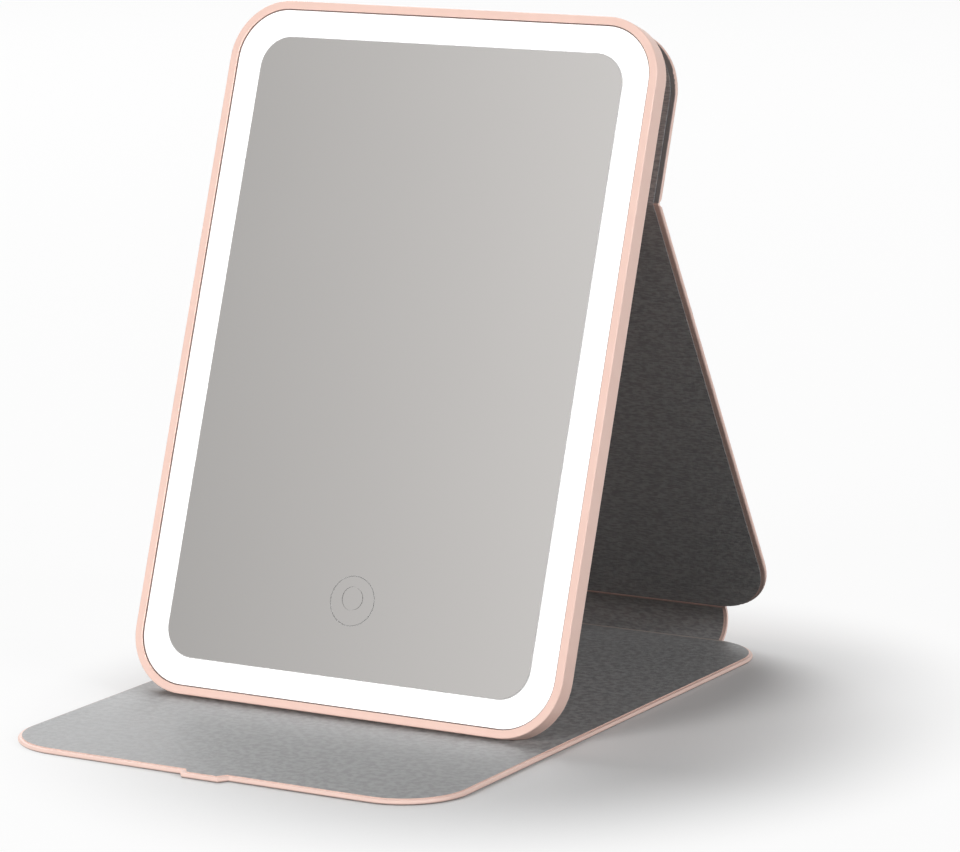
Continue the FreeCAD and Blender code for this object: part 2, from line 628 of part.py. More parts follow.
def make_frame():
    body = new_body("frame_ring", tablet_frame)
    layer(body, "lip_depth", "frame_depth", "0", inner="frame_wall")
    lip = layer(body, "0", "lip_depth", "0", inner="bezel_width")
    half_width, height = value_of("tablet_width / 2"), value_of("tablet_height")

    def is_inner(edge):
        box = edge.BoundBox
        at_side = max(-box.XMin, box.XMax) > half_width - flat_tolerance
        at_end = box.YMin < flat_tolerance or box.YMax > height - flat_tolerance
        return not (at_side or at_end)

    edges = level_edges(lip, "0", is_inner) + level_edges(lip, "-frame_depth", is_inner)
    fillet(body, lip, edges, "frame_round")
    # The lower back edge is bevelled to the standing angle, so that the frame rests flat on the base.
    knife = doc.addObject("Part::Box", "foot_bevel")
    bind(knife, Length="tablet_width + 2 * cut_overrun", Width="frame_depth + 2 * cut_overrun",
         Height="cut_overrun")
    knife.setExpression("Placement.Base.x", cells("-tablet_width / 2 - cut_overrun"))
    knife.setExpression("Placement.Base.y", cells("tablet_y - cut_overrun"))
    knife.setExpression("Placement.Base.z", cells("panel_thickness + rest_gap - cut_overrun"))
    keep("front_frame", boolean("Cut", "frame_foot", body, knife))


def make_front():
    seal = new_body("seal_ring", tablet_frame)
    layer(seal, "lip_depth - seal_depth", "lip_depth", "bezel_width", inner="bezel_width + seal_width")
    keep("bezel_seal", seal)
    diffuser = new_body("diffuser_ring", tablet_frame)
    layer(diffuser, "lip_depth", "diffuser_back", "inner_margin",
          inner="mirror_margin - glass_fit", inner_corner="mirror_corner + glass_fit")
    keep("light_diffuser", diffuser)
    button_hole = ("0", "button_place", "button_diameter + 2 * button_fit")
    hole_radius = value_of(button_hole[2]) / 2

    def round_button(edge):
        box = edge.BoundBox
        return abs(box.XMax - hole_radius) < flat_tolerance and abs(box.XMin + hole_radius) < flat_tolerance

    glass = new_body("glass_plate", tablet_frame)
    plate = layer(glass, "mirror_front", "mirror_back", "mirror_margin", "mirror_corner", holes=[button_hole])
    chamfer(glass, plate, level_edges(plate, "-mirror_front", round_button), "mirror_edge")
    keep("mirror_glass", glass)
    tape = new_body("glass_tape", tablet_frame)
    layer(tape, "mirror_back", "plateau_front", "mirror_margin + tape_inset", "mirror_corner - tape_inset",
          holes=[button_hole])
    keep("mirror_tape", tape)


def make_tray():
    body = new_body("tray", tablet_frame)
    stem_hole = ("0", "button_place", "stem_diameter + 2 * button_fit")
    inside = "plateau_margin + tray_wall"
    inside_corner = "plateau_corner - tray_wall"
    layer(body, "plateau_front", "plateau_back", "plateau_margin", "plateau_corner", holes=[stem_hole])
    layer(body, "plateau_back", "channel_floor", "plateau_margin", "plateau_corner", inside, inside_corner)
    layer(body, "channel_floor", "tray_back", "inner_margin", None, inside, inside_corner)
    layer(body, "diffuser_back", "channel_floor", "inner_margin", inner="inner_margin + tray_wall")
    bosses(body, "plateau_back", "circuit_front", board_screw_places, screw_bore)
    bosses(body, "plateau_back", "boss_end", shell_screw_places, screw_bore)
    keep("light_tray", body)


def led(across, along, upright):
    solid = doc.addObject("Part::Box", "led")
    wide, tall = ("led_width", "led_length") if upright else ("led_length", "led_width")
    bind(solid, Length=wide, Width=tall, Height="led_height")
    put(solid, tablet_frame, "%s - %s / 2" % (across, wide), "%s - %s / 2" % (along, tall), "-strip_front")
    return solid


def make_lights():
    strip = new_body("strip_ring", tablet_frame)
    layer(strip, "strip_front", "channel_floor", "strip_margin - strip_width / 2",
          inner="strip_margin + strip_width / 2")
    keep("led_strip", strip)
    across_count = int(value_of("(tablet_width - 2 * tablet_corner) / led_pitch"))
    upright_count = int(value_of("(tablet_height - 2 * tablet_corner) / led_pitch"))
    leds = []
    for index in range(across_count + 1):
        across = "(%d - %d / 2) * led_pitch" % (index, across_count)
        leds.append(led(across, "strip_margin", False))
        leds.append(led(across, "tablet_height - strip_margin", False))
    for index in range(upright_count + 1):
        along = "tablet_height / 2 + (%d - %d / 2) * led_pitch" % (index, upright_count)
        leds.append(led("-tablet_width / 2 + strip_margin", along, True))
        leds.append(led("tablet_width / 2 - strip_margin", along, True))
    keep("leds", group("led_set", leds))


def make_shell():
    body = new_body("shell", tablet_frame)
    inside = "shell_inset + shell_wall"
    layer(body, "tray_back", "frame_depth", "inner_margin", inner=inside)
    layer(body, "frame_depth", "shell_inside", "shell_inset", inner=inside)
    back = layer(body, "shell_inside", "shell_back", "shell_inset")
    fillet(body, back, level_edges(back, "-shell_back"), "shell_round")
    bosses(body, "boss_end", "shell_inside", shell_screw_places, screw_bore)
    wells = new_sketch(body, "XY_Plane", "-shell_back")
    for across, along in shell_screw_places:
        circle(wells, across, along, "head_diameter + 2 * screw_fit")
    pocket(body, wells, "shell_wall", forward=True)
    slot = new_sketch(body, "YZ_Plane", "-shell_side - cut_overrun")
    rounded_box(
        slot,
        ("inlet_height - inlet_width / 2 - inlet_fit", "inlet_height + inlet_width / 2 + inlet_fit"),
        ("-inlet_back - inlet_fit", "-inlet_front + inlet_fit"),
        "inlet_corner + inlet_fit")
    pocket(body, slot, "shell_wall + 2 * cut_overrun", forward=True)
    keep("rear_shell", body)
    keep("mount_pad", block(
        "shell_pad", "shell_back", "tablet_depth", ("-pad_width / 2", "pad_width / 2"),
        ("crease_height + pad_margin", "tablet_height - shell_inset - pad_margin"), "circuit_corner"))


def screw_set(name, places, seat, length):
    # Screws whose heads stand behind a seat, with their shanks running forward from it.
    screws = []
    for across, along in places:
        head = cylinder("screw_head", tablet_frame, "head_diameter", "head_depth",
                        across, along, "-(%s) - head_depth" % seat)
        shank = cylinder("screw_shank", tablet_frame, "screw_diameter", length, across, along, "-(%s)" % seat)
        screws.append(boolean("Fuse", "screw", head, shank))
    return group(name, screws)


def make_circuit():
    half_width, half_length = "circuit_width / 2", "circuit_length / 2"
    main_body = block(
        "main_circuit", "circuit_front", "circuit_back", ("-" + half_width, half_width),
        ("button_place - " + half_length, "button_place + " + half_length), "circuit_corner")
    holes = new_sketch(main_body, "XY_Plane", "-circuit_front")
    for across, along in board_screw_places:
        circle(holes, across, along, screw_bore)
    pocket(main_body, holes, "circuit_thickness")
    keep("main_board", main_body)
    keep("board_screws", screw_set("board_screw_set", board_screw_places, "circuit_back",
                                   "circuit_back - plateau_back - retainer_thickness"))
    keep("shell_screws", screw_set("shell_screw_set", shell_screw_places, "shell_inside",
                                   "shell_inside - plateau_back - tray_wall"))
    half_cell = "battery_length / 2"
    cell_body = block(
        "cell", "battery_front", "battery_back", ("-battery_width / 2", "battery_width / 2"),
        ("battery_height - " + half_cell, "battery_height + " + half_cell), "battery_corner")
    cell_block = cell_body.Tip
    edges = level_edges(cell_block, "-battery_front") + level_edges(cell_block, "-battery_back")
    chamfer(cell_body, cell_block, edges, "battery_round")
    keep("battery", cell_body)
    keep("battery_tape", block(
        "cell_tape", "battery_back", "shell_inside",
        ("-battery_width / 2 + battery_corner", "battery_width / 2 - battery_corner"),
        ("battery_height - %s + battery_corner" % half_cell,
         "battery_height + %s - battery_corner" % half_cell),
        "battery_round"))


def make_charger():
    left = "-shell_side + shell_wall + inlet_fit"
    half = "charger_length / 2"
    keep("charge_board", block(
        "charger", "inlet_back", "shell_inside", (left, left + " + charger_width"),
        ("inlet_height - " + half, "inlet_height + " + half), "circuit_corner"))
    body = new_body("inlet", tablet_frame)
    tube_sides = ("inlet_height - inlet_width / 2", "inlet_height + inlet_width / 2")
    tube_ends = ("-inlet_back", "-inlet_front")
    tube = new_sketch(body, "YZ_Plane", "-shell_side")
    rounded_box(tube, tube_sides, tube_ends, "inlet_corner")
    rounded_box(tube, (tube_sides[0] + " + inlet_wall", tube_sides[1] + " - inlet_wall"),
                (tube_ends[0] + " + inlet_wall", tube_ends[1] + " - inlet_wall"), "inlet_corner - inlet_wall")
    pad(body, tube, "inlet_length - inlet_wall")
    plate = new_sketch(body, "YZ_Plane", "-shell_side + inlet_length - inlet_wall")
    rounded_box(plate, tube_sides, tube_ends, "inlet_corner")
    pad(body, plate, "inlet_wall")
    keep("usb_inlet", body)
    tongue_body = new_body("tongue", tablet_frame)
    tongue = new_sketch(tongue_body, "YZ_Plane", "-shell_side + inlet_length - inlet_wall - tongue_length")
    polygon(tongue, [
        ("inlet_height %s tongue_width / 2" % side, "-inlet_middle %s tongue_thickness / 2" % end)
        for side, end in ("--", "+-", "++", "-+")
    ])
    pad(tongue_body, tongue, "tongue_length")
    keep("inlet_tongue", tongue_body)


def make_button():
    cap = new_body("cap", tablet_frame)
    disc = new_sketch(cap, "XY_Plane", "-cap_back")
    circle(disc, "0", "button_place", "button_diameter")
    face = pad(cap, disc, "button_thickness")
    chamfer(cap, face, level_edges(face, "-cap_front"), "button_round")
    groove = new_sketch(cap, "XY_Plane", "-cap_front")
    circle(groove, "0", "ring_place", "button_ring")
    circle(groove, "0", "ring_place", "button_ring - 2 * groove_width")
    pocket(cap, groove, "groove_depth")
    stem = new_sketch(cap, "XY_Plane", "-stem_back")
    circle(stem, "0", "button_place", "stem_diameter")
    pad(cap, stem, "stem_back - cap_back")
    keep("button_cap", cap)
    retainer = new_body("retainer", tablet_frame)
    ring = new_sketch(retainer, "XY_Plane", "-stem_back")
    circle(ring, "0", "button_place", "retainer_diameter")
    circle(ring, "0", "button_place", "stem_diameter + 2 * retainer_gap")
    pad(retainer, ring, "retainer_thickness")
    keep("button_retainer", retainer)
    keep("switch_plunger", cylinder(
        "plunger", tablet_frame, "plunger_diameter", "plunger_reach + plunger_inside",
        "0", "button_place", "-switch_front - plunger_inside"))
    switch_body = block(
        "switch", "switch_front", "circuit_front", ("-switch_side / 2", "switch_side / 2"),
        ("button_place - switch_side / 2", "button_place + switch_side / 2"), "button_round")
    well = new_sketch(switch_body, "XY_Plane", "-switch_front")
    circle(well, "0", "button_place", "plunger_diameter + 2 * button_fit")
    pocket(switch_body, well, "switch_well")
    keep("tact_switch", switch_body)


def make_tablet_magnets():
    magnets = [
        cylinder("tablet_magnet", tablet_frame, "magnet_diameter", "magnet_thickness",
                 "0 %s magnet_spread / 2" % side, "magnet_place", "-plateau_back - magnet_thickness")
        for side in "-+"
    ]
    keep("tablet_magnets", group("tablet_magnet_pair", magnets))


make_base()
make_spine()
keep("leg_board", make_panel("leg", leg_frame, ("0", "leg_length"), "leg_rim", crease="high"))
keep("upper_board", make_panel("upper", upper_frame, ("0", "upper_length"), "leg_rim", crease="low"))
make_frame()
make_front()
make_tray()
make_lights()
make_shell()
make_circuit()
make_charger()
make_button()
make_tablet_magnets()
doc.recompute()

for item in doc.Objects:
    if "Invalid" in item.State or "Error" in item.State:
        raise RuntimeError("%s did not build: %s" % (item.Name, item.State))
os.makedirs("parts", exist_ok=True)
for item in nodes:
    if item.Shape.isNull() or not item.Shape.isValid():
        raise RuntimeError("%s has no valid shape" % item.Label)
for item in nodes:
    item.Shape.exportStep("parts/%s.step" % item.Label)
    print("%s: %d solid, %.0f mm3" % (item.Label, len(item.Shape.Solids), item.Shape.Volume))
print("tablet leans back %.2f degrees" % value_of("tablet_lean"))
for place in ("spine", "leg_fold", "crease", "tablet"):
    print("%s at %.4f, %.4f" % (place, value_of(place + "_y"), value_of(place + "_z")))
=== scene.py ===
import json
import math

import bmesh
import bpy
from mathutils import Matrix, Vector


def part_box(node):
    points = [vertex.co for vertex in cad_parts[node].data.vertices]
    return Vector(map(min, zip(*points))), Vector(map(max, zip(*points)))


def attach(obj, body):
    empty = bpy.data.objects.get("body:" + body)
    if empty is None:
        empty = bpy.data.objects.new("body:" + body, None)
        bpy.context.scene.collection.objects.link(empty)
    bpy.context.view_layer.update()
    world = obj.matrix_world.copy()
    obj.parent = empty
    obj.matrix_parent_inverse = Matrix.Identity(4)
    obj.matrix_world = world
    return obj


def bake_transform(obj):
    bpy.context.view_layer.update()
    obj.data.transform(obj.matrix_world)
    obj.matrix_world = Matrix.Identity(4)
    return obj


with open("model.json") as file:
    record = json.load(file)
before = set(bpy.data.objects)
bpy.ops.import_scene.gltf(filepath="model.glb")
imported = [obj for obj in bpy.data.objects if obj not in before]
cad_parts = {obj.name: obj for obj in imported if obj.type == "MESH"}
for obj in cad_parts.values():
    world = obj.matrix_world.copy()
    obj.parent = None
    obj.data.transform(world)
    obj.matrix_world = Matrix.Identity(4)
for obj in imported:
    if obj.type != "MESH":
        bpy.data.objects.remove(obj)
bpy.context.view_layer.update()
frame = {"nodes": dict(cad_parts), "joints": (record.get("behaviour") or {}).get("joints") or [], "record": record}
nodes = frame["nodes"]
scene = bpy.context.scene
scene.view_settings.view_transform = "Standard"
print("frame loaded:", len(nodes), "nodes")


def jointOf(name):
    return next(joint for joint in frame["joints"] if joint["name"] == name)


pressWay = Vector(jointOf("button_press")["axis"])
upWay = Vector((0.0, -pressWay.z, pressWay.y))      # up the mirror's face


# shader node helpers

mixFirst, mixSecond, mixColour = 6, 7, 2    # colour sockets of a Mix node
mixFirstValue, mixSecondValue = 2, 3        # number sockets of a Mix node


def addNode(tree, kind, label="", **settings):
    node = tree.nodes.new(kind)
    node.label = label
    for name, value in settings.items():
        setattr(node, name, value)
    return node


def setInputs(node, **values):
    for name, value in values.items():
        node.inputs[name.replace("_", " ")].default_value = value
    return node


def wire(tree, source, output, target, socket):
    tree.links.new(source.outputs[output], target.inputs[socket])


def newGroup(name, inputs, outputs):
    tree = bpy.data.node_groups.new(name, "ShaderNodeTree")
    for label, value in inputs.items():
        socket = tree.interface.new_socket(label, in_out="INPUT", socket_type="NodeSocketFloat")
        socket.default_value = value
    for label in outputs:
        tree.interface.new_socket(label, in_out="OUTPUT", socket_type="NodeSocketFloat")
    return tree, addNode(tree, "NodeGroupInput"), addNode(tree, "NodeGroupOutput")


def useGroup(tree, group, **values):
    node = addNode(tree, "ShaderNodeGroup", node_tree=group)
    return setInputs(node, **values)


def mathNode(tree, operation, first, second):
    # first and second are numbers or (node, output) pairs
    node = addNode(tree, "ShaderNodeMath", operation=operation)
    for index, value in enumerate((first, second)):
        if isinstance(value, tuple):
            wire(tree, value[0], value[1], node, index)
        else:
            node.inputs[index].default_value = value
    return node


def smoothStep(tree, source, limits, **ends):
    # source is a (node, output) pair, limits are where the step starts and ends
    node = addNode(tree, "ShaderNodeMapRange", interpolation_type="SMOOTHSTEP")
    setInputs(node, From_Min=limits[0], From_Max=limits[1], **ends)
    wire(tree, source[0], source[1], node, "Value")
    return node


def splitVector(tree, coords, output):
    node = addNode(tree, "ShaderNodeSeparateXYZ")
    wire(tree, coords, output, node, "Vector")
    return node


def partAlong(tree, coords, output, way):
    node = addNode(tree, "ShaderNodeVectorMath", operation="DOT_PRODUCT")
    node.inputs[1].default_value = way
    wire(tree, coords, output, node, 0)
    return node


# grain: pebbles with creases between them, and fine pores on top

pebbleGrain = {
    "smoothness": 0.6,
    "poreDetail": 3.0,
    "creases": (0.35, 0.75),    # from a pebble's top to the crease beside it
}


def makeGrainGroup():
    tree, source, result = newGroup("pebble grain", {"Pebbles": 900.0, "Pores": 3500.0, "Pore Depth": 0.25},
                                    ("Height", "Creases"))
    coords = addNode(tree, "ShaderNodeTexCoord")
    pebbles = addNode(tree, "ShaderNodeTexVoronoi", feature="SMOOTH_F1")
    pebbles.inputs["Smoothness"].default_value = pebbleGrain["smoothness"]
    pores = addNode(tree, "ShaderNodeTexNoise")
    pores.inputs["Detail"].default_value = pebbleGrain["poreDetail"]
    wire(tree, coords, "Object", pebbles, "Vector")
    wire(tree, coords, "Object", pores, "Vector")
    wire(tree, source, "Pebbles", pebbles, "Scale")
    wire(tree, source, "Pores", pores, "Scale")
    poreHeight = mathNode(tree, "MULTIPLY", (pores, "Fac"), (source, "Pore Depth"))
    dome = mathNode(tree, "SUBTRACT", 1.0, (pebbles, "Distance"))
    height = mathNode(tree, "ADD", (dome, 0), (poreHeight, 0))
    creases = smoothStep(tree, (pebbles, "Distance"), pebbleGrain["creases"])
    wire(tree, height, 0, result, "Height")
    wire(tree, creases, "Result", result, "Creases")
    return tree


# mottle: soft blotches of tone, which may be drawn out along the part's width, depth or height

softMottle = {
    "detail": 4.0,
    "middle": 0.5,      # of the noise, halfway from dark to light
}


def makeMottleGroup():
    inputs = {"Scale": 60.0, "Across": 1.0, "Deep": 1.0, "Tall": 1.0, "Softness": 0.5}
    tree, source, result = newGroup("soft mottle", inputs, ("Tone",))
    coords = addNode(tree, "ShaderNodeTexCoord")
    stretch = addNode(tree, "ShaderNodeCombineXYZ")
    wire(tree, source, "Across", stretch, "X")
    wire(tree, source, "Deep", stretch, "Y")
    wire(tree, source, "Tall", stretch, "Z")
    drawn = addNode(tree, "ShaderNodeVectorMath", operation="MULTIPLY")
    wire(tree, coords, "Object", drawn, 0)
    wire(tree, stretch, "Vector", drawn, 1)
    blotches = addNode(tree, "ShaderNodeTexNoise")
    blotches.inputs["Detail"].default_value = softMottle["detail"]
    wire(tree, drawn, "Vector", blotches, "Vector")
    wire(tree, source, "Scale", blotches, "Scale")
    half = mathNode(tree, "MULTIPLY", (source, "Softness"), 0.5)
    tone = addNode(tree, "ShaderNodeMapRange", interpolation_type="SMOOTHSTEP")
    wire(tree, blotches, "Fac", tone, "Value")
    low = mathNode(tree, "SUBTRACT", softMottle["middle"], (half, 0))
    high = mathNode(tree, "ADD", softMottle["middle"], (half, 0))
    wire(tree, low, 0, tone, "From Min")
    wire(tree, high, 0, tone, "From Max")
    wire(tree, tone, "Result", result, "Tone")
    return tree


# dust: sparse pale specks

fineDust = {
    "specks": (0.62, 0.78),     # part of the noise that makes a speck
}


def makeDustGroup():
    tree, source, result = newGroup("fine dust", {"Scale": 1400.0, "Amount": 0.2}, ("Mask",))
    coords = addNode(tree, "ShaderNodeTexCoord")
    specks = addNode(tree, "ShaderNodeTexNoise")
    wire(tree, coords, "Object", specks, "Vector")
    wire(tree, source, "Scale", specks, "Scale")
    mask = smoothStep(tree, (specks, "Fac"), fineDust["specks"])
    amount = mathNode(tree, "MULTIPLY", (mask, "Result"), (source, "Amount"))
    wire(tree, amount, 0, result, "Mask")
    return tree


grain = makeGrainGroup()
mottle = makeMottleGroup()
dust = makeDustGroup()


def newMaterial(name):
    material = bpy.data.materials.new(name)
    material.use_nodes = True
    shader = material.node_tree.nodes["Principled BSDF"]
    return material, material.node_tree, shader


def mixColours(tree, factor, first, second):
    # factor is a (node, output) pair, first and second are colours
    node = addNode(tree, "ShaderNodeMix", data_type="RGBA")
    node.inputs[mixFirst].default_value = (*first, 1.0)
    node.inputs[mixSecond].default_value = (*second, 1.0)
    wire(tree, factor[0], factor[1], node, 0)
    return node


def rangeNode(tree, factor, low, high):
    node = addNode(tree, "ShaderNodeMapRange")
    setInputs(node, To_Min=low, To_Max=high)
    wire(tree, factor[0], factor[1], node, "Value")
    return node


def addRoughness(tree, factor, shader, limits):
    node = rangeNode(tree, factor, *limits)
    wire(tree, node, "Result", shader, "Roughness")


def addBump(tree, height, shader, depth):
    node = addNode(tree, "ShaderNodeBump")
    node.inputs["Distance"].default_value = depth
    wire(tree, height[0], height[1], node, "Height")
    wire(tree, node, "Normal", shader, "Normal")


# leatherette: the cover's pink outer skin

leatherette = {
    "light": (0.93, 0.68, 0.60),
    "dark": (0.905, 0.655, 0.577),
    "under": (0.15, 0.105, 0.095),  # painted shade where the skin turns under
    "turn": (-0.75, -0.35),         # upward part of the normal, from full painted shade to none
    "contactShadow": (0.0001, 0.0009),  # metres above the table, from the painted contact shadow to none
    "inside": (0.224, 0.228, 0.231),    # upper panel's inner rim, dyed like its lining
    "front": (0.85, 0.97),          # forward part of the normal, from open to that rim
    "roughness": (0.42, 0.55),
    "grain": {"Pebbles": 1100.0, "Pores": 5200.0, "Pore_Depth": 0.2},   # pebbles and pores per metre
    "clouds": {"Scale": 45.0, "Softness": 0.5},
    "depth": 0.00006,
}


def makeLeatherette():
    material, tree, shader = newMaterial("pinkLeatherette")
    pebble = useGroup(tree, grain, **leatherette["grain"])
    tone = useGroup(tree, mottle, **leatherette["clouds"])
    colour = mixColours(tree, (tone, "Tone"), leatherette["dark"], leatherette["light"])
    coords = addNode(tree, "ShaderNodeTexCoord")
    # painted shade: the skin is darker where it faces down, and a painted contact shadow lies just above the table
    facing = splitVector(tree, coords, "Normal")
    facingUp = smoothStep(tree, (facing, "Z"), leatherette["turn"])
    place = splitVector(tree, coords, "Object")
    clear = smoothStep(tree, (place, "Z"), leatherette["contactShadow"])
    both = mathNode(tree, "MINIMUM", (facingUp, "Result"), (clear, "Result"))
    shadedBelow = mixColours(tree, (both, 0), leatherette["under"], leatherette["light"])
    wire(tree, colour, mixColour, shadedBelow, mixSecond)
    forward = partAlong(tree, coords, "Normal", -pressWay)
    front = smoothStep(tree, (forward, "Value"), leatherette["front"])
    aboveCrease = mathNode(tree, "GREATER_THAN", (place, "Z"), jointOf("mirror_hinge")["pos_m"][2])
    innerRim = mathNode(tree, "MULTIPLY", (front, "Result"), (aboveCrease, 0))
    dyed = mixColours(tree, (innerRim, 0), leatherette["light"], leatherette["inside"])
    wire(tree, shadedBelow, mixColour, dyed, mixFirst)
    wire(tree, dyed, mixColour, shader, "Base Color")
    addRoughness(tree, (pebble, "Creases"), shader, leatherette["roughness"])
    addBump(tree, (pebble, "Height"), shader, leatherette["depth"])
    return material


# lining: dark grey napped leatherette inside the cover

lining = {
    "light": (0.349, 0.355, 0.359),
    "dark": (0.235, 0.239, 0.243),
    "rearHighlight": (0.5, 0.44, 0.4),   # pale painted highlight along the base's rear edge
    "lineWidth": 0.0012,
    "lineBelow": 0.003,             # metres above the table
    "side": (0.77, 0.56, 0.49),     # base lining's side, where the pink edge is turned up against it
    "sideTurn": 0.5,                # upward part of the normal, less than this on the side
    "sideReach": 0.00005,           # metres past the rear edge
    "roughness": (0.5, 0.62),
    "grain": {"Pebbles": 700.0, "Pores": 3200.0, "Pore_Depth": 0.5},
    "flecks": {"Scale": 900.0, "Across": 0.45, "Deep": 0.45, "Tall": 2.2, "Softness": 0.27},
    "depth": 0.00008,
}


def makeLining():
    material, tree, shader = newMaterial("greyLining")
    pebble = useGroup(tree, grain, **lining["grain"])
    tone = useGroup(tree, mottle, **lining["flecks"])
    colour = mixColours(tree, (tone, "Tone"), lining["dark"], lining["light"])
    coords = addNode(tree, "ShaderNodeTexCoord")
    place = splitVector(tree, coords, "Object")
    # a pale line is painted on the lining along the base's rear edge: a painted highlight
    halfLine = lining["lineWidth"] / 2
    atRear = mathNode(tree, "COMPARE", (place, "Y"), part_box("base_lining")[1][1] - halfLine)
    atRear.inputs[2].default_value = halfLine
    low = mathNode(tree, "LESS_THAN", (place, "Z"), lining["lineBelow"])
    onRearHighlight = mathNode(tree, "MULTIPLY", (atRear, 0), (low, 0))
    highlighted = mixColours(tree, (onRearHighlight, 0), lining["dark"], lining["rearHighlight"])
    wire(tree, colour, mixColour, highlighted, mixFirst)
    facing = splitVector(tree, coords, "Normal")
    side = mathNode(tree, "LESS_THAN", (facing, "Z"), lining["sideTurn"])
    ofBase = mathNode(tree, "LESS_THAN", (place, "Y"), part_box("base_lining")[1][1] + lining["sideReach"])
    lowSide = mathNode(tree, "MULTIPLY", (side, 0), (low, 0))
    baseSide = mathNode(tree, "MULTIPLY", (lowSide, 0), (ofBase, 0))
    edged = mixColours(tree, (baseSide, 0), lining["dark"], lining["side"])
    wire(tree, highlighted, mixColour, edged, mixFirst)
    wire(tree, edged, mixColour, shader, "Base Color")
    addRoughness(tree, (tone, "Tone"), shader, lining["roughness"])
    addBump(tree, (pebble, "Height"), shader, lining["depth"])
    return material


# moulded plastic: frame, shell, tray and small inner pieces

mouldedFinishes = {
    "framePink": {"light": (0.96, 0.68, 0.59), "dark": (0.93, 0.65, 0.56),
        "roughness": (0.32, 0.4), "depth": 0.00001},
    "trayWhite": {"light": (0.86, 0.86, 0.85), "dark": (0.80, 0.80, 0.79),
        "roughness": (0.45, 0.6), "depth": 0.00002},
    "switchBlack": {"light": (0.035, 0.035, 0.036), "dark": (0.02, 0.02, 0.021),
        "roughness": (0.3, 0.42), "depth": 0.00001},
    "sealGrey": {"light": (0.5, 0.495, 0.49), "dark": (0.45, 0.445, 0.44),
        "roughness": (0.5, 0.65), "depth": 0.00001},
    # the seal is a real part, but its dark brown is painted shade for the shaded inner wall of the bezel round the
    # glass
    "sealShadeBrown": {"light": (0.17, 0.115, 0.1), "dark": (0.12, 0.08, 0.07),
        "roughness": (0.5, 0.65), "depth": 0.00001},
    "foamBlack": {"light": (0.06, 0.06, 0.06), "dark": (0.03, 0.03, 0.03),
        "roughness": (0.7, 0.9), "depth": 0.00003},
}
mouldedSurface = {
    "clouds": {"Scale": 110.0, "Softness": 0.7},
    "grain": {"Pebbles": 2600.0, "Pores": 9000.0, "Pore_Depth": 0.4},
}


def makeMoulded(name):
    finish = mouldedFinishes[name]
    material, tree, shader = newMaterial(name)
    tone = useGroup(tree, mottle, **mouldedSurface["clouds"])
    fine = useGroup(tree, grain, **mouldedSurface["grain"])
    colour = mixColours(tree, (tone, "Tone"), finish["dark"], finish["light"])
    wire(tree, colour, mixColour, shader, "Base Color")
    addRoughness(tree, (fine, "Creases"), shader, finish["roughness"])
    addBump(tree, (fine, "Height"), shader, finish["depth"])
    return material


# lit border: frosted sheet with light behind it

litBorder = {
    "colour": (0.93, 0.93, 0.93),
    "shade": (0.9, 0.9, 0.9),
    "glow": (1.0, 1.0, 1.0),
    "dimGlow": (0.97, 0.975, 0.98),
    "seenGlow": (0.18, 0.18, 0.18),     # what the eye gets of it, so that the edges stay smooth
    "strength": 2.3,
    "roughness": (0.4, 0.6),
    "clouds": {"Scale": 62.5, "Softness": 0.8},
    "grain": {"Pebbles": 4000.0, "Pores": 9000.0, "Pore_Depth": 0.3},
    "depth": 0.00001,
}


def makeLitBorder():
    material, tree, shader = newMaterial("frostedLight")
    tone = useGroup(tree, mottle, **litBorder["clouds"])
    fine = useGroup(tree, grain, **litBorder["grain"])
    colour = mixColours(tree, (tone, "Tone"), litBorder["shade"], litBorder["colour"])
    wire(tree, colour, mixColour, shader, "Base Color")
    glow = mixColours(tree, (tone, "Tone"), litBorder["dimGlow"], litBorder["glow"])
    path = addNode(tree, "ShaderNodeLightPath")
    shown = mixColours(tree, (path, "Is Camera Ray"), litBorder["glow"], litBorder["seenGlow"])
    wire(tree, glow, mixColour, shown, mixFirst)
    wire(tree, shown, mixColour, shader, "Emission Color")
    shader.inputs["Emission Strength"].default_value = litBorder["strength"]
    addRoughness(tree, (fine, "Creases"), shader, litBorder["roughness"])
    addBump(tree, (fine, "Height"), shader, litBorder["depth"])
    return material


# silvered glass: mirror and button

silvered = {
    "clean": (0.90, 0.89, 0.88),
    "hazy": (0.885, 0.875, 0.865),
    "roughness": (0.015, 0.05),
    "edge": (0.36, 0.355, 0.35),
    "edgeRoughness": 0.5,
    "flat": (0.93, 0.99),       # forward part of the normal, from edges to the flat face
    "haze": {"Scale": 14.0, "Softness": 0.9},
    "specks": {"Scale": 900.0, "Amount": 0.5},
}


def makeSilvered():
    material, tree, shader = newMaterial("silveredGlass")
    haze = useGroup(tree, mottle, **silvered["haze"])
    specks = useGroup(tree, dust, **silvered["specks"])
    colour = mixColours(tree, (haze, "Tone"), silvered["hazy"], silvered["clean"])
    coords = addNode(tree, "ShaderNodeTexCoord")
    forward = partAlong(tree, coords, "Normal", -pressWay)
    flat = smoothStep(tree, (forward, "Value"), silvered["flat"])
    face = mixColours(tree, (flat, "Result"), silvered["edge"], silvered["clean"])
    wire(tree, colour, mixColour, face, mixSecond)
    wire(tree, face, mixColour, shader, "Base Color")
    wire(tree, flat, "Result", shader, "Metallic")
    film = mathNode(tree, "MAXIMUM", (haze, "Tone"), (specks, "Mask"))
    rough = rangeNode(tree, (film, 0), *silvered["roughness"])
    edge = rangeNode(tree, (flat, "Result"), silvered["edgeRoughness"], 0.0)
    either = mathNode(tree, "MAXIMUM", (rough, "Result"), (edge, "Result"))
    wire(tree, either, 0, shader, "Roughness")
    return material


# inner metals and boards

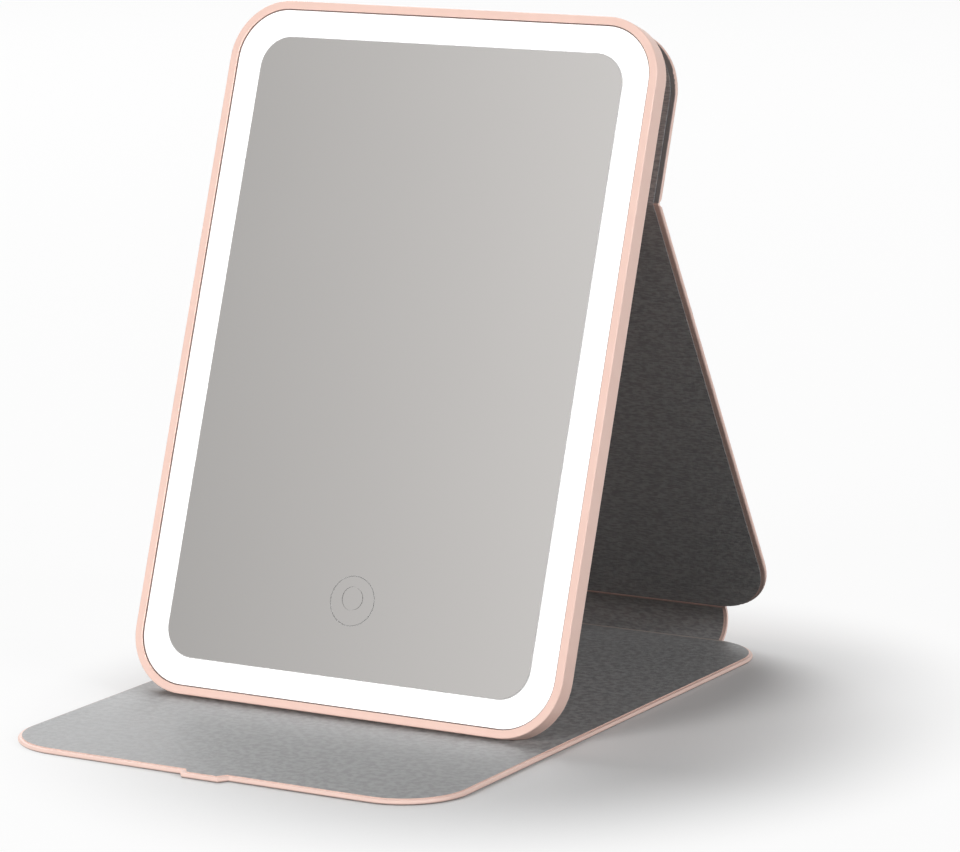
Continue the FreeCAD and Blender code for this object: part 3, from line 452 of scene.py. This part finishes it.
metalFinishes = {
    "platedSteel": {"light": (0.62, 0.62, 0.63), "dark": (0.5, 0.5, 0.51), "roughness": (0.22, 0.38)},
    "nickel": {"light": (0.68, 0.67, 0.65), "dark": (0.58, 0.57, 0.55), "roughness": (0.15, 0.3)},
    "foilPouch": {"light": (0.66, 0.66, 0.68), "dark": (0.55, 0.55, 0.57), "roughness": (0.35, 0.5)},
}
metalSurface = {
    "brush": {"Scale": 900.0, "Across": 0.08, "Softness": 0.8},
    "depth": 0.000005,
}


def makeMetal(name):
    finish = metalFinishes[name]
    material, tree, shader = newMaterial(name)
    shader.inputs["Metallic"].default_value = 1.0
    brush = useGroup(tree, mottle, **metalSurface["brush"])
    colour = mixColours(tree, (brush, "Tone"), finish["dark"], finish["light"])
    wire(tree, colour, mixColour, shader, "Base Color")
    addRoughness(tree, (brush, "Tone"), shader, finish["roughness"])
    addBump(tree, (brush, "Tone"), shader, metalSurface["depth"])
    return material


boardFinishes = {
    "circuitGreen": {"light": (0.03, 0.2, 0.09), "dark": (0.015, 0.12, 0.055), "roughness": (0.25, 0.4)},
    "stripWhite": {"light": (0.85, 0.84, 0.8), "dark": (0.76, 0.75, 0.71), "roughness": (0.35, 0.5)},
    "greyBoard": {"light": (0.3, 0.27, 0.23), "dark": (0.22, 0.2, 0.17), "roughness": (0.75, 0.9)},
    "ledResin": {"light": (0.9, 0.83, 0.5), "dark": (0.85, 0.76, 0.42), "roughness": (0.2, 0.3)},
}
boardSurface = {
    "fibres": {"Scale": 700.0, "Across": 0.3, "Softness": 0.5},
    "specks": {"Scale": 2200.0, "Amount": 0.4},
    "depth": 0.00001,
}


def makeBoard(name):
    finish = boardFinishes[name]
    material, tree, shader = newMaterial(name)
    fibres = useGroup(tree, mottle, **boardSurface["fibres"])
    specks = useGroup(tree, dust, **boardSurface["specks"])
    tone = mathNode(tree, "MAXIMUM", (fibres, "Tone"), (specks, "Mask"))
    colour = mixColours(tree, (tone, 0), finish["dark"], finish["light"])
    wire(tree, colour, mixColour, shader, "Base Color")
    addRoughness(tree, (fibres, "Tone"), shader, finish["roughness"])
    addBump(tree, (fibres, "Tone"), shader, boardSurface["depth"])
    return material


finishOfSlot = {
    "leatherette": makeLeatherette(),
    "lining": makeLining(),
    "cover_board": makeBoard("greyBoard"),
    "pink_plastic": makeMoulded("framePink"),
    # seal's dark brown is painted shade
    "seal": makeMoulded("sealShadeBrown"),
    "diffuser": makeLitBorder(),
    "silvered_glass": makeSilvered(),
    "tape": makeMoulded("foamBlack"),
    "white_plastic": makeMoulded("trayWhite"),
    "strip": makeBoard("stripWhite"),
    "led": makeBoard("ledResin"),
    "circuit": makeBoard("circuitGreen"),
    "steel": makeMetal("platedSteel"),
    "magnet": makeMetal("nickel"),
    "switch": makeMoulded("switchBlack"),
    "cell": makeMetal("foilPouch"),
}

for subpart in frame["record"]["subparts"]:
    mesh = nodes[subpart["node"]].data
    mesh.materials.clear()
    mesh.materials.append(finishOfSlot[subpart["material_slot"]])
print("finishes:", len(finishOfSlot))


def addPiece(name, shape, material):
    mesh = bpy.data.meshes.new(name)
    shape.to_mesh(mesh)
    shape.free()
    mesh.materials.append(material)
    piece = bpy.data.objects.new(name, mesh)
    scene.collection.objects.link(piece)
    return piece


# cover at the crease: the skin dips into the fold between leg and upper panel, and the lining goes over it

creaseFold = {
    "legLean": 31.24,           # degrees
    "thickness": 0.002,         # of a panel
    "setback": 0.003,           # panels' outer faces stop this far from the fold line
    "gap": 0.00015,             # panels' inner faces stop this far from it
    "valley": 0.0011,           # lowest part of the skin, from the fold line
    "rise": 1.55,               # how the skin climbs from there to the panels
    "steps": 10,
    "clear": 0.00008,           # between the skin and the panels' bevels
    "sink": 0.0003,             # the skin's edges, below the panels' outer faces
    "endInset": 0.00015,
    "endTaper": 0.0004,
    "rim": 0.0022,              # lining's ends, in from the cover's sides
    "rimDrop": 0.0003,          # pink rim, below the lining's face
    "lap": 0.0016,              # lining strip on each panel
    "lapFlat": (0.8, 0.2),      # share of the lap from which, and to which, it lies flat
    "liningLift": 0.00008,
    "turnOver": 0.0006,         # the skin turns within this distance of the middle
    "sharp": 0.6,               # radians between faces that stay an edge
}


def foldAxes():
    # outward: middle of the fold on the outside. upward: square to it, towards the upper panel
    lean = math.radians(creaseFold["legLean"])
    legWay = Vector((0.0, math.sin(lean), -math.cos(lean)))
    centre = Vector(jointOf("mirror_hinge")["pos_m"])
    return centre, (upWay + legWay).normalized(), (upWay - legWay).normalized()


def foldStrip(name, section, halfWidth, slot, smooth, taper=0.0):
    # section: points (outward, upward) of a closed outline, drawn out across the cover
    # taper: how much shorter the strip is on its inner side
    centre, outward, upward = foldAxes()
    inner, outer = min(out for out, up in section), max(out for out, up in section)
    shape = bmesh.new()
    rings = []
    for side in (-1.0, 1.0):
        ring = []
        for out, up in section:
            reach = halfWidth - taper * ((outer - out) / (outer - inner)) ** 2
            across = Vector((side * reach, 0.0, 0.0))
            ring.append(shape.verts.new(centre + across + outward * out + upward * up))
        rings.append(ring)
    count = len(section)
    for index in range(count):
        following = (index + 1) % count
        shape.faces.new((rings[0][index], rings[0][following], rings[1][following], rings[1][index]))
    shape.faces.new(rings[0][::-1])
    shape.faces.new(rings[1])
    bmesh.ops.recalc_face_normals(shape, faces=shape.faces)
    for face in shape.faces:
        face.smooth = smooth and len(face.verts) == 4
    for edge in shape.edges:
        edge.smooth = edge.calc_face_angle() < creaseFold["sharp"]
    piece = addPiece(name, shape, finishOfSlot[slot])
    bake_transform(piece)


def onPanel(along, out):
    # a point of the upper panel near the fold, as (outward, upward)
    outward, upward = foldAxes()[1:]
    place = upWay * along + pressWay * out
    return place.dot(outward), place.dot(upward)


def mirrored(points):
    return [(out, -up) for out, up in reversed(points)]


def makeCreaseSkin():
    slope = (creaseFold["setback"] - creaseFold["gap"]) / creaseFold["thickness"]

    def besideBevel(out):
        return onPanel(creaseFold["gap"] + out * slope - creaseFold["clear"], out)

    edgeOut, edgeUp = besideBevel(creaseFold["thickness"] - creaseFold["sink"])
    climb = []
    for step in range(1, creaseFold["steps"] + 1):
        share = step / creaseFold["steps"]
        climb.append((creaseFold["valley"] + (edgeOut - creaseFold["valley"]) * share ** creaseFold["rise"],
                      edgeUp * share))
    inner = besideBevel(creaseFold["rimDrop"])
    outline = mirrored(climb) + [(creaseFold["valley"], 0.0)] + climb + [inner, (inner[0], -inner[1])]
    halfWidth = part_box("leg_skin")[1][0] - creaseFold["endInset"]
    foldStrip("creaseSkin", outline, halfWidth, "leatherette", True, creaseFold["endTaper"])


def makeCreaseLining():
    lift = creaseFold["liningLift"]
    top = [onPanel(creaseFold["lap"], 0.0)]
    top += [onPanel(creaseFold["lap"] * share, -lift) for share in creaseFold["lapFlat"]]
    outline = top + [(top[-1][0] - lift, 0.0)] + mirrored(top) + [(0.0, 0.0)]
    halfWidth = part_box("leg_skin")[1][0] - creaseFold["rim"]
    foldStrip("creaseLining", outline, halfWidth, "lining", False)


makeCreaseSkin()
makeCreaseLining()
print("crease closed")


# soft seal in the gap round the button

buttonSeal = {
    "outer": 0.00849,
    "inner": 0.00834,
    "below": 0.0001,            # under the glass
    "depth": 0.0004,
    "proud": 0.00005,           # button's face, before the glass
    "rimDepth": 0.0005,         # points this near to the button's face give its place
    "steps": 96,
}


def makeButtonSeal():
    cap = nodes["button_cap"]
    points = [cap.matrix_world @ vertex.co for vertex in cap.data.vertices]
    front = min(point.dot(pressWay) for point in points)
    rim = [point for point in points if point.dot(pressWay) < front + buttonSeal["rimDepth"]]
    heights = [point.dot(upWay) for point in rim]
    centre = upWay * (min(heights) + max(heights)) / 2 + pressWay * (front + buttonSeal["proud"])
    shape = bmesh.new()
    rings = []
    deep = buttonSeal["depth"]
    for radius, depth in (("outer", 0.0), ("inner", 0.0), ("inner", deep), ("outer", deep)):
        ring = []
        for step in range(buttonSeal["steps"]):
            turn = 2 * math.pi * step / buttonSeal["steps"]
            across = Vector((math.cos(turn), 0.0, 0.0)) + upWay * math.sin(turn)
            inward = pressWay * (buttonSeal["below"] + depth)
            ring.append(shape.verts.new(centre + across * buttonSeal[radius] + inward))
        rings.append(ring)
    for index, ring in enumerate(rings):
        other = rings[(index + 1) % len(rings)]
        for step in range(buttonSeal["steps"]):
            after = (step + 1) % buttonSeal["steps"]
            shape.faces.new((ring[step], ring[after], other[after], other[step]))
    bmesh.ops.recalc_face_normals(shape, faces=shape.faces)
    piece = addPiece("buttonSeal", shape, makeMoulded("sealGrey"))
    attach(piece, "mirror")
    print("button seal at", tuple(round(value, 5) for value in centre))


makeButtonSeal()


# floor and studio

studio = {
    "floorRadius": 3.0,
    "floorSegments": 96,
    "floorDrop": 0.00002,       # under the base
    "floorRoughness": 0.9,
    "floorColour": (0.87, 0.87, 0.87),
    "floorBounce": (0.4, 0.4, 0.4),
    "middle": (0.045, 0.0),     # of the shaded part of the floor
    "longer": 1.18,             # its length over its width
    "fade": (0.083, 0.172),     # metres from the middle, where the floor goes over to plain white
    "faded": 0.92,
    "ambient": 0.02,
    "key": {"azimuth": 132, "elevation": 41, "away": 3.0, "size": 2.5, "watts": 57.0,
        "mirrored": True},
    "frontFill": {"azimuth": 252, "elevation": 12, "away": 3.0, "size": 1.2, "watts": 72.0,
        "mirrored": False},
    "rightFill": {"azimuth": 350, "elevation": 23, "away": 3.0, "size": 1.4, "watts": 50.0,
        "mirrored": True},
    "aim": (0.0, 0.0, 0.08),
}


def makeFloor():
    material, tree, shader = newMaterial("paleFloor")
    shader.inputs["Roughness"].default_value = studio["floorRoughness"]
    shader.inputs["Specular IOR Level"].default_value = 0.0
    path = addNode(tree, "ShaderNodeLightPath")
    colour = mixColours(tree, (path, "Is Diffuse Ray"), studio["floorColour"], studio["floorBounce"])
    wire(tree, colour, mixColour, shader, "Base Color")
    coords = addNode(tree, "ShaderNodeTexCoord")
    away = addNode(tree, "ShaderNodeVectorMath", operation="LENGTH")
    wire(tree, coords, "Object", away, 0)
    fade = smoothStep(tree, (away, "Value"), studio["fade"], To_Max=studio["faded"])
    seen = mathNode(tree, "MAXIMUM", (path, "Is Camera Ray"), (path, "Is Glossy Ray"))
    seenAtAll = mathNode(tree, "MAXIMUM", (seen, 0), (path, "Is Transmission Ray"))
    white = addNode(tree, "ShaderNodeEmission")
    factor = mathNode(tree, "MULTIPLY", (fade, "Result"), (seenAtAll, 0))
    both = addNode(tree, "ShaderNodeMixShader")
    wire(tree, factor, 0, both, 0)
    wire(tree, shader, "BSDF", both, 1)
    wire(tree, white, "Emission", both, 2)
    wire(tree, both, "Shader", tree.nodes["Material Output"], "Surface")
    shape = bmesh.new()
    bmesh.ops.create_circle(shape, cap_ends=True, radius=studio["floorRadius"],
                            segments=studio["floorSegments"])
    floor = addPiece("studioFloor", shape, material)
    floor.location = (*studio["middle"], -studio["floorDrop"])
    floor.scale.y = studio["longer"]


def makeLamp(name):
    values = studio[name]
    lamp = bpy.data.lights.new(name, "AREA")
    lamp.shape = "DISK"
    lamp.size = values["size"]
    lamp.energy = values["watts"]
    item = bpy.data.objects.new(name, lamp)
    turn, rise = math.radians(values["azimuth"]), math.radians(values["elevation"])
    way = Vector((math.cos(rise) * math.cos(turn), math.cos(rise) * math.sin(turn), math.sin(rise)))
    item.location = Vector(studio["aim"]) + way * values["away"]
    item.rotation_euler = way.to_track_quat("Z", "Y").to_euler()
    item.visible_camera = False
    item.visible_glossy = values["mirrored"]
    scene.collection.objects.link(item)


# what the mirror sees: a white backdrop behind the object, and a dimmer room in front, brighter to the right

room = {
    "brightWay": (0.872, -0.389, 0.296),
    "edge": (-0.25, 0.25),      # from dim to bright, by how far a ray runs the bright way
    "tones": (0.25, 0.955),
    "backdrop": (-0.3, 0.2),    # from the room to the backdrop, by how far a ray runs backwards
    "tint": (1.0, 0.98, 0.965),
    "white": (1.0, 1.0, 1.0),
}


def makeWorld():
    world = bpy.data.worlds.new("studioWorld")
    world.use_nodes = True
    scene.world = world
    tree = world.node_tree
    ambient = tree.nodes["Background"]
    ambient.inputs["Color"].default_value = (*room["white"], 1.0)
    ambient.inputs["Strength"].default_value = studio["ambient"]
    coords = addNode(tree, "ShaderNodeTexCoord")
    along = partAlong(tree, coords, "Generated", room["brightWay"])
    dim, bright = room["tones"]
    tone = smoothStep(tree, (along, "Value"), room["edge"], To_Min=dim, To_Max=bright)
    way = splitVector(tree, coords, "Generated")
    behind = smoothStep(tree, (way, "Y"), room["backdrop"])
    roomTone = addNode(tree, "ShaderNodeMix", data_type="FLOAT")
    roomTone.inputs[mixSecondValue].default_value = 1.0
    wire(tree, behind, "Result", roomTone, 0)
    wire(tree, tone, "Result", roomTone, mixFirstValue)
    seenRoom = addNode(tree, "ShaderNodeBackground")
    wire(tree, roomTone, 0, seenRoom, "Strength")
    white = addNode(tree, "ShaderNodeBackground")
    white.inputs["Color"].default_value = (*room["white"], 1.0)
    seenRoom.inputs["Color"].default_value = (*room["tint"], 1.0)
    path = addNode(tree, "ShaderNodeLightPath")
    plain = mathNode(tree, "MAXIMUM", (path, "Is Camera Ray"), (path, "Is Transmission Ray"))
    glossy = addNode(tree, "ShaderNodeMixShader")
    wire(tree, path, "Is Glossy Ray", glossy, 0)
    wire(tree, ambient, "Background", glossy, 1)
    wire(tree, seenRoom, "Background", glossy, 2)
    seen = addNode(tree, "ShaderNodeMixShader")
    wire(tree, plain, 0, seen, 0)
    wire(tree, glossy, "Shader", seen, 1)
    wire(tree, white, "Background", seen, 2)
    wire(tree, seen, "Shader", tree.nodes["World Output"], "Surface")


makeFloor()
for name in ("key", "frontFill", "rightFill"):
    makeLamp(name)
makeWorld()
print("studio ready")


# camera at the photograph's viewing angle

cameraView = {
    "at": (0.7268, -1.2412, 0.3601),
    "azimuth": 29.26,       # degrees to the right of the mirror's front
    "elevation": 10.5,
    "lens": 163.3,          # mm
    "sensor": 36.0,         # mm wide
}


def makeCamera():
    lens = bpy.data.cameras.new("photoCamera")
    lens.lens = cameraView["lens"]
    lens.sensor_width = cameraView["sensor"]
    lens.sensor_fit = "HORIZONTAL"
    camera = bpy.data.objects.new("photoCamera", lens)
    camera.location = cameraView["at"]
    tilt, turn = math.radians(90 - cameraView["elevation"]), math.radians(cameraView["azimuth"])
    camera.rotation_euler = (tilt, 0, turn)
    scene.collection.objects.link(camera)
    scene.camera = camera


makeCamera()
